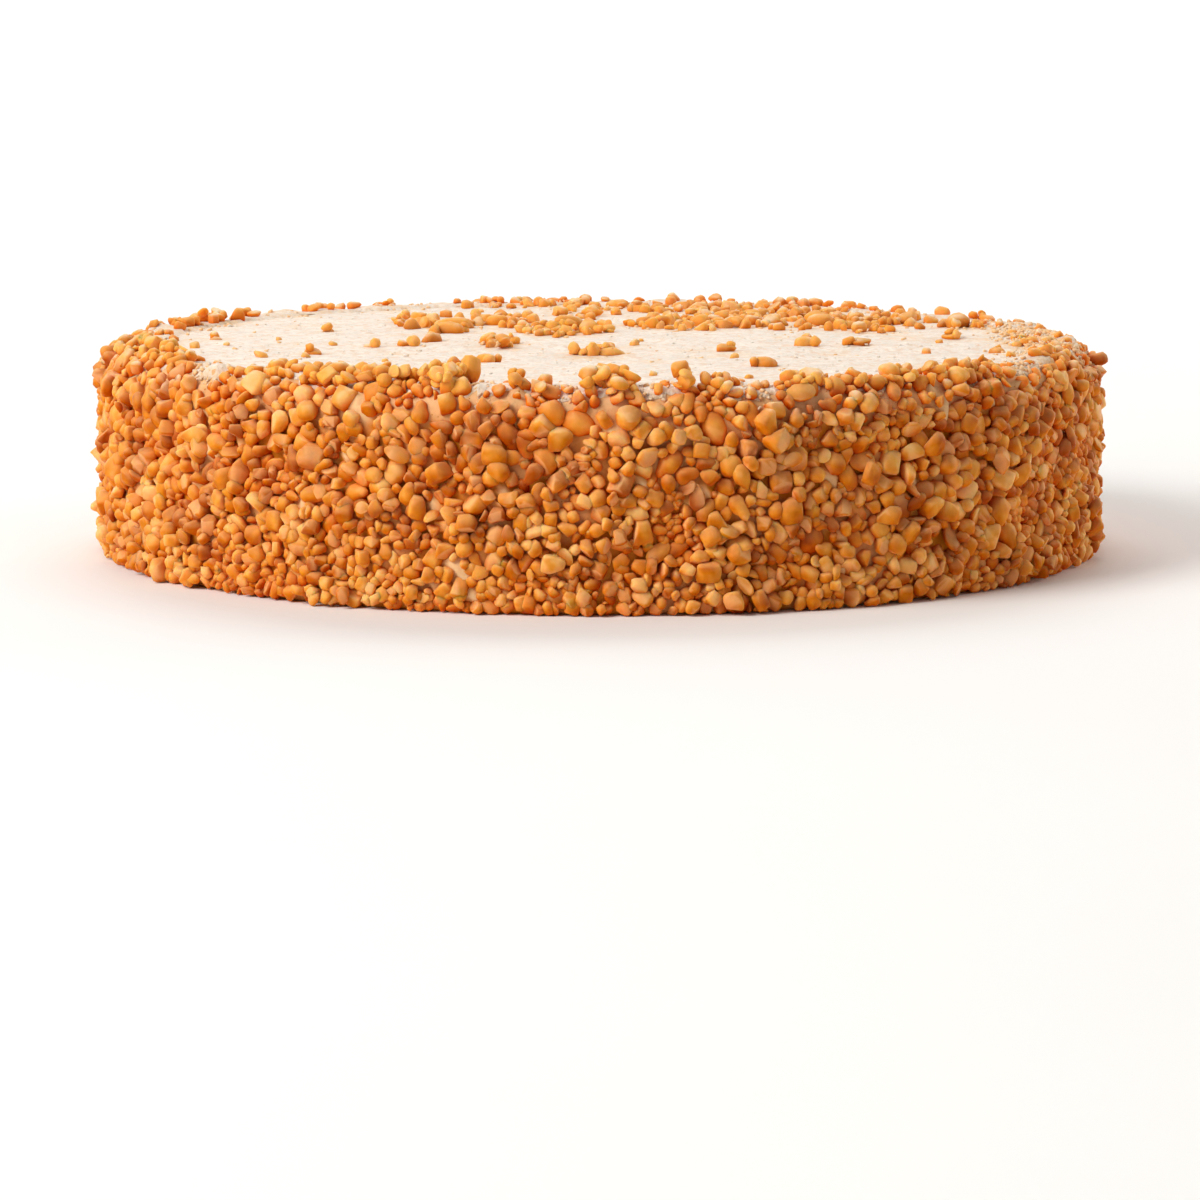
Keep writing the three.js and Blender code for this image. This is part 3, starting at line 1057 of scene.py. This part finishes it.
def joined_piece(name, shapes, batches, depth_share):
    """One mesh of many placed shapes, each with its layers and its own square of the colour map."""
    number, matrix, place, tone, out = (np.concatenate(part) for part in zip(*batches))
    side = math.ceil(math.sqrt(len(number)))
    parts = {part: [] for part in ("corners", "loops", "starts", "uv", "tone", "cut", "edge", "deep")}
    corner_count, loop_count = 0, 0
    for which, shape in enumerate(shapes):
        chosen = np.flatnonzero(number == which)
        if not len(chosen):
            continue
        many, each = len(chosen), len(shape.corners)
        corners = np.einsum("nij,vj->nvi", matrix[chosen], shape.corners) + place[chosen][:, None]
        corners[:, :, 2] += np.maximum(TABLE_GAP - corners[:, :, 2].min(1), 0)[:, None]
        # The "deep" layer is higher for corners deep in the coat and on a nut's inward side, less so on the
        # top; the material paints shade by it and lays a cream film there.
        outward = ((corners - place[chosen][:, None]) * out[chosen][:, None]).sum(2)
        inward = 0.5 - 0.5 * outward / np.abs(outward).max(1)[:, None]
        inward = np.where(corners[:, :, 2] > SUGAR_LEVEL, 0.4, 1) * inward
        cell = np.stack([chosen % side, chosen // side], -1)[:, None]
        counting = np.arange(many)[:, None]
        for part, values in (
            ("corners", corners.reshape(-1, 3)),
            ("loops", (shape.loops[None] + (corner_count + each * counting)).ravel()),
            ("starts", (shape.starts[None] + (loop_count + len(shape.loops) * counting)).ravel()),
            ("uv", ((cell + 0.05 + 0.9 * shape.uv[None]) / side).reshape(-1, 2)),
            ("tone", np.repeat(tone[chosen], each)),
            ("cut", np.tile(shape.cut, many)),
            ("edge", np.tile(shape.edge, many)),
            ("deep", np.clip(depth_share * (0.75 * depth_in_coat(corners) + 0.3 * inward), 0, 1).ravel()),
        ):
            parts[part].append(values)
        corner_count += many * each
        loop_count += many * len(shape.loops)
    parts = {part: np.concatenate(values) for part, values in parts.items()}
    mesh = bpy.data.meshes.new(name)
    mesh.vertices.add(corner_count)
    mesh.vertices.foreach_set("co", (parts["corners"] * MM).ravel())
    mesh.loops.add(loop_count)
    mesh.loops.foreach_set("vertex_index", parts["loops"])
    mesh.polygons.add(len(parts["starts"]))
    mesh.polygons.foreach_set("loop_start", parts["starts"])
    mesh.update(calc_edges=True)
    mesh.shade_smooth()
    for layer in ("tone", "cut", "edge", "deep"):
        set_layer(mesh, layer, parts[layer])
    mesh.uv_layers.new(name="OFBake").data.foreach_set("uv", parts["uv"].ravel())
    piece = bpy.data.objects.new(name, mesh)
    bpy.context.scene.collection.objects.link(piece)
    return piece


# ---------------------------------------------------------------- build

core = make_core()
sugar = make_sugar(core)

SHAPES = {
    "nut_pebbles": shape_set("pebble", 14, 13, lambda n, r: chunk_shape(n, r, 0.92, 1, 84, 5)),
    "nut_drops": shape_set("drop", 12, 18, lambda n, r: drop_shape(n, r, 84, 6)),
    "nut_chunks": shape_set("chunk", 14, 11, lambda n, r: chunk_shape(n, r, 0.62, 3, 84, 4)),
    "nut_cubes": shape_set("cube", 12, 12, lambda n, r: chunk_shape(n, r, 0.4, 1, 88, 4)),
    "nut_halves": shape_set("half", 8, 14, lambda n, r: half_shape(n, r, 96)),
    "nut_kernels": shape_set("kernel", 8, 15, lambda n, r: long_shape(n, r, 96)),
    "nut_bits": shape_set("bit", 12, 16, lambda n, r: chunk_shape(n, r, 0.7, 2, 40, 4)),
    "nut_crumbs": shape_set("crumb", 8, 17, lambda n, r: chunk_shape(n, r, 0.5, 2, 24, 2, (0.45, 0.7))),
    "sugar_flakes": shape_set("flake", 8, 20, lambda n, r: chunk_shape(n, r, 0.3, 2, 28, 2, (0.35, 0.55))),
    "sugar_grains": shape_set("grain", 6, 19, lambda n, r: chunk_shape(n, r, 0.5, 1, 20, 2)),
}
CHIPS = ("nut_pebbles", "nut_drops", "nut_chunks", "nut_cubes", "nut_drops", "nut_halves", "nut_chunks",
         "nut_cubes")
TOP_CHIPS = ("nut_pebbles", "nut_chunks", "nut_cubes", "nut_drops", "nut_halves", "nut_drops")
SINGLES = ("nut_halves", "nut_drops", "nut_pebbles", "nut_drops")


def along_coat(turn):
    """A length along the coat, for degrees round the cake from its front."""
    return turn / 360 * COAT_LENGTH % COAT_LENGTH


def coat_edge(x):
    """How far up the profile the side's nuts go: a ragged edge, lower at the back and at gaps."""
    turn = apart(x / COAT_LENGTH * 360, 0)
    ragged = 0.9 * math.sin(math.radians(17 * turn)) + 0.6 * math.sin(math.radians(41 * turn) + 1)
    back = 3 + 4 * back_share(turn) if abs(turn) > 100 else 1.5 if turn < -75 else 0
    return RIM_START - 1 + ragged - max(back, (8 if abs(turn) > 64 else 6.5) * gap_share(turn))


def pressed_to(depth):
    """A ceiling for nuts pressed into the side: it follows the clumps and comes down over the shoulder."""
    def ceiling(x, y):
        turn = x / CORE_RADIUS
        place = Vector((CORE_RADIUS * math.sin(turn), CORE_RADIUS * math.cos(turn), y))
        over = (y - SHOULDER_START) / (RIM_START - SHOULDER_START)
        return depth + CLUMP_RISE * noise.noise(place / CLUMP_SPAN) - 2.2 * min(max(over, 0), 1)
    return ceiling


def press():
    """How far out of the core a nut may stand: pressed to a wall, with a few left proud."""
    return pressed_to(COAT_DEPTH - 2.1 + 1.6 * random.random() + min(random.exponential(0.7), 2.0))


def size_there(x, y):
    """How large the side's nuts are at one place, compared with elsewhere."""
    size = 1.0
    for middle, height, half, rise, more in SIZE_PATCHES:
        away = apart(x / COAT_LENGTH * 360, middle) / half
        size += more * math.exp(-away ** 2 - ((y - height) / rise) ** 2)
    return size


def side_spots(low, high):
    """Random spots of the side between two heights along the profile, below the coat's edge."""
    def spot():
        while True:
            x, y = random.uniform(0, COAT_LENGTH), random.uniform(low, high)
            if y < coat_edge(x):
                return x, y
    return spot


def bare_spots(heap, spots):
    """Those of some random spots where nothing lies on the ground yet."""
    def spot():
        for _ in range(60):
            x, y = spots()
            if heap.spot(x, y) - heap.spot(x, y, heap.ground) < 0.1:
                break
        return x, y
    return spot


def rim_spots(middle, half, reach):
    """Random spots of one heap on the rim, from the shoulder inwards."""
    def spot():
        turn = middle + half * float(np.clip(random.normal(0, 0.5), -1, 1))
        return along_coat(turn), RIM_START - 4 + (reach + 4) * random.random() ** 1.2
    return spot


def gap_spots(in_front):
    """Random spots where bare sugar reaches the edge: at the front, or on the right and at the back."""
    def spot():
        while True:
            turn = random.uniform(-64, 64) if in_front else random.uniform(64, 296)
            if random.random() < gap_share(turn) * (0.1 if turn > 122 else 1):
                spread, further = ((-3, 2.5), 0) if in_front else ((-2, 4), 2.5)
                inwards = random.normal(*spread) + further * random.exponential()
                return along_coat(turn), min(RIM_START + inwards, COAT_RISE - 3)
    return spot


def edge_spots():
    """Random spots along the rim's inner edge at the front, fewer further in."""
    x = random.uniform(-0.33, 0.33) * COAT_LENGTH % COAT_LENGTH
    return x, min(RIM_START - 2 + random.exponential(4), COAT_RISE - 3)


def bed_spots(x, y, reach_x, reach_y):
    """Random spots of one bed on the top, thinning out towards its edge."""
    def spot():
        turn, away = random.uniform(0, 2 * math.pi), random.random() ** 0.6
        across, ahead = x + reach_x * away * math.cos(turn), y + reach_y * away * math.sin(turn)
        held = min(1, (CORE_RADIUS - SHOULDER - 2) / math.hypot(across, ahead))
        return CORE_RADIUS + held * across, CORE_RADIUS + held * ahead
    return spot


def top_spots():
    """Random spots anywhere on the top inside the rim."""
    turn, away = random.uniform(0, 2 * math.pi), (CORE_RADIUS - 14) * math.sqrt(random.random())
    return CORE_RADIUS + away * math.cos(turn), CORE_RADIUS + away * math.sin(turn)


def fill_side(coat):
    """Presses nuts into the cream of the side: large ones, then chips, then smaller ones in between."""
    for kind in ("nut_kernels", "nut_halves"):
        coat.pour(150, kind, side_spots(13, RIM_START), KERNEL_LENGTH, 1.8, -0.02, ceilings=press,
                  tries=4, stands=0.25, grows=size_there)
    for low, high, nuts, lengths, shift in (
        (24, RIM_START, 2500, UPPER_LENGTH, -0.02),
        (9, 30, 1700, MIDDLE_LENGTH, 0.02),
        # The nuts at the foot get a paler tone: painted light bounced up from below.
        (0.9, 13, 1600, FOOT_LENGTH, 0.13),
    ):
        coat.pour(nuts, CHIPS, side_spots(low, high), lengths, 1.3, shift, ceilings=press, tries=5,
                  stands=0.4, grows=size_there)
    for turn, length in FOOT_NUTS:
        spot = (along_coat(turn), FOOT_LEVEL)
        coat.drop(pick_kind(CHIPS), lambda: spot, length, roast(), sink=0, ceiling=6.5)
    bare = bare_spots(coat.heap, side_spots(6, RIM_START))
    for count, kinds, lengths in ((260, CHIPS, FOOT_LENGTH), (200, "nut_bits", BIT_LENGTH)):
        coat.pour(count, kinds, bare, lengths, ceiling=pressed_to(3.0), pressed=1.2, stands=0.3)
    whole = side_spots(0.9, RIM_START)
    coat.pour(1000, CHIPS, whole, FOOT_LENGTH, shift=-0.05, tries=12, ceiling=pressed_to(3.1), pressed=1.0,
              stands=0.4)
    coat.pour(500, "nut_bits", whole, BIT_LENGTH, tries=14, ceiling=pressed_to(2.5), pressed=1.6)


def fill_rim(coat):
    """Piles the heaps on the rim, and sprinkles crumbs and sugar where the edge is bare."""
    for middle, half, reach, nuts, height in RIM_HEAPS:
        spots = rim_spots(middle, half, reach)
        # Rim nuts get a paler tone, those at the back more: painted light of the bright, backlit top.
        shift, lengths = (0.1, BACK_LENGTH) if abs(middle) > 100 else (0.05, RIM_LENGTH)
        coat.pour(nuts, some_of("nut_halves", 0.12), spots, lengths, 1.2, shift, sink=0.3,
                  ceiling=height, tries=2, stands=0.3)
        if abs(middle) < 130:
            coat.pour(nuts // 2, "nut_bits", spots, BIT_LENGTH, 1.0, shift, sink=0.3,
                      ceiling=0.9 * height, tries=3)
    for turn in BACK_NUTS:
        spot = (along_coat(turn), RIM_START + random.uniform(-1.5, 1.5))
        # Painted light: the single back nuts get a paler tone too.
        coat.drop("nut_pebbles", lambda: spot, random.uniform(3.4, 5.0), roast(0.1), sink=0.3, ceiling=2.3)
    for spots, bits, crumbs, flakes in (
        (gap_spots(False), 60, 1200, 500),
        (gap_spots(True), 20, 110, 100),
        (edge_spots, 30, 450, 120),
    ):
        for count, kind, lengths, shift in (
            (bits, "nut_bits", BIT_LENGTH, 0.2),
            (crumbs, "nut_crumbs", CRUMB_LENGTH, 0.4),
            (flakes, "sugar_flakes", FLAKE_LENGTH, 0),
        ):
            coat.pour(count, kind, spots, lengths, 1.4, shift, sink=0.7, ceiling=1.5, tries=3, pressed=1.0)


def fill_top(top):
    """Scatters nuts on the sugar: beds, single large ones, and loose bits, crumbs and grains."""
    for x, y, reach_x, reach_y, nuts in TOP_BEDS:
        inner, whole, wide = (bed_spots(x, y, more * reach_x, more * reach_y) for more in (0.6, 1, 1.3))
        low = 0.5 if y > 80 else 0.8 if y > 50 else 1.0
        shift = -0.14 if x > 40 else 0.08
        top.pour(max(nuts // 12, 1), SINGLES, inner, LARGE_LENGTH, 1.0, shift, top_roast, sink=0.5,
                 tries=2, lean=0.15, ceiling=4.0 * low)
        top.pour(int(1.35 * nuts), some_of("nut_kernels", 0.08), whole, BED_LENGTH, 1.2, shift, top_roast,
                 ceilings=lambda: low * between((2.0, 3.8), 1.6), sink=0.6, tries=2, lean=0.4, stands=0.35)
        top.pour(nuts // 3, "nut_bits", wide, BIT_LENGTH, tone=top_roast, sink=0.5, ceiling=2.0)
        top.pour(nuts, "nut_crumbs", wide, CRUMB_LENGTH, 1.6, 0.3, sink=0.6, ceiling=1.5)
    for x, y, length in TOP_SINGLES:
        kind = "nut_kernels" if length > 8 else pick_kind(SINGLES)
        top.drop(kind, bed_spots(x, y, 0.5, 0.5), 1.05 * length, top_roast(), sink=0.8, lean=0.15,
                 ceiling=6)
        beside = bed_spots(x, y, 0.6 * length, 0.6 * length)
        top.pour(int(length - 3), "nut_bits", beside, BIT_LENGTH, 1.0, 0.2, sink=0.3, ceiling=2.5)
    for count, kind, lengths in ((20, "nut_bits", BIT_LENGTH), (110, "nut_crumbs", CRUMB_LENGTH),
                                 (350, "sugar_flakes", FLAKE_LENGTH), (700, "sugar_grains", GRAIN_LENGTH)):
        top.pour(count, kind, top_spots, lengths, 1.6, 0.4, sink=0.9, ceiling=2.0)


def spread_crumbs_and_glow(piece, places):
    """Tells each corner of a piece of sugar how many nuts lie round it, where crumbs mix with it and where
    it is painted with the warm glow bounced from them.
    """
    nuts = places[places[:, 2] > SUGAR_LEVEL - 2]
    counts = np.histogram2d(nuts[:, 0], nuts[:, 1], bins=140, range=[[-140, 140], [-140, 140]])[0]
    blur = np.exp(-0.5 * (np.arange(-4, 5) / 1.6) ** 2)
    for axis in (0, 1):
        counts = np.apply_along_axis(np.convolve, axis, counts, blur / blur.sum(), "same")
    corners = np.array([v.co for v in piece.data.vertices]) / MM
    column, row = ((corners[:, i] / 2 + 70).astype(int) for i in (0, 1))
    set_layer(piece.data, "nuts_near", 1 - np.exp(-18 * counts[column, row]))


coat_heap = heap_on((core, sugar), coat_frame, COAT_LENGTH, COAT_RISE, COAT_SQUARE, True)
top_heap = heap_on((sugar,), top_frame, 2 * CORE_RADIUS, 2 * CORE_RADIUS, TOP_SQUARE, False)
coat = Scatter(coat_frame, coat_heap)
top = Scatter(top_frame, top_heap)
fill_side(coat)
fill_rim(coat)
fill_top(top)

nut_look = nut_material("roasted_nut", 0.72, 0.0)
crumb_look = nut_material("nut_crumb", 0.0, 0.75)
cream_look = cream_material()
sugar_look = sugar_material()

core.data.materials.append(cream_look)
sugar.data.materials.append(sugar_look)
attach(core, "root")
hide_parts("cake")
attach(sugar, "root")

nut_places, sugar_pieces = [], [sugar]
for kind, shapes in SHAPES.items():
    batches = [scatter.placed(kind) for scatter in (coat, top) if scatter.found.get(kind)]
    if kind in CHIPS or kind == "nut_crumbs":
        nut_places += [batch[2][::1 if kind in CHIPS else 4] for batch in batches]
    piece = joined_piece(kind, shapes, batches, 0.3 if kind == "nut_crumbs" else 1)
    is_sugar = kind in ("sugar_grains", "sugar_flakes")
    look = sugar_look if is_sugar else crumb_look if kind == "nut_crumbs" else nut_look
    piece.data.materials.append(look)
    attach(piece, "root")
    if is_sugar:
        sugar_pieces.append(piece)
for piece in sugar_pieces:
    spread_crumbs_and_glow(piece, np.concatenate(nut_places))


# ---------------------------------------------------------------- stage


def make_floor():
    """A pale floor that sweeps up into a backdrop."""
    bpy.ops.object.select_all(action="DESELECT")
    bpy.ops.mesh.primitive_plane_add(size=6, location=(0, 0, 0))
    floor = new_piece("floor")
    edit_alone(floor)
    pick(floor, "edges", lambda e: all(v.co.y > 2.9 for v in e.verts))
    bpy.ops.mesh.extrude_region_move(TRANSFORM_OT_translate={"value": (0, 0, 4)})
    pick(floor, "edges", lambda e: all(v.co.y > 2.9 and v.co.z < 0.1 for v in e.verts))
    bpy.ops.mesh.bevel(offset=1.6, segments=12, affect="EDGES")
    leave_edit()
    smooth(floor)
    floor.data.materials.append(floor_material())


def add_light(name, place, aim, size, power, colour):
    bpy.ops.object.select_all(action="DESELECT")
    bpy.ops.object.light_add(type="AREA", location=place)
    light = new_piece(name)
    light.data.shape = "DISK"
    light.data.size = size
    light.data.energy = power
    light.data.color = colour
    light.rotation_euler = (Vector(aim) - Vector(place)).to_track_quat("-Z", "Y").to_euler()


def make_world(strength):
    world = bpy.data.worlds.new("soft_room")
    bpy.context.scene.world = world
    world.use_nodes = True
    sky = world.node_tree.nodes["Background"]
    sky.inputs["Color"].default_value = (1.0, 0.99, 0.97, 1.0)
    sky.inputs["Strength"].default_value = strength


def make_camera():
    """A long lens in front, looking a little down on the cake."""
    bpy.ops.object.select_all(action="DESELECT")
    bpy.ops.object.camera_add(location=(0, -1.354, 0.1823), rotation=(math.radians(90 - 8.31), 0, 0))
    camera = bpy.context.active_object
    camera.data.lens = 148.4
    camera.data.sensor_width = 36
    bpy.context.scene.camera = camera


make_floor()
make_world(0.30)
add_light("key", (-1.4, -1.05, 1.25), (0, 0, 0.03), 1.2, 40, (1.0, 0.98, 0.95))
add_light("side_fill", (1.6, 0.8, 0.5), (0, 0, 0.03), 1.0, 12.5, (1.0, 0.92, 0.8))
add_light("backdrop_light", (0, 1.9, 2.2), (0, 2.1, 0), 2.0, 36, (1.0, 1.0, 1.0))
make_camera()
bpy.context.scene.view_settings.view_transform = "Standard"
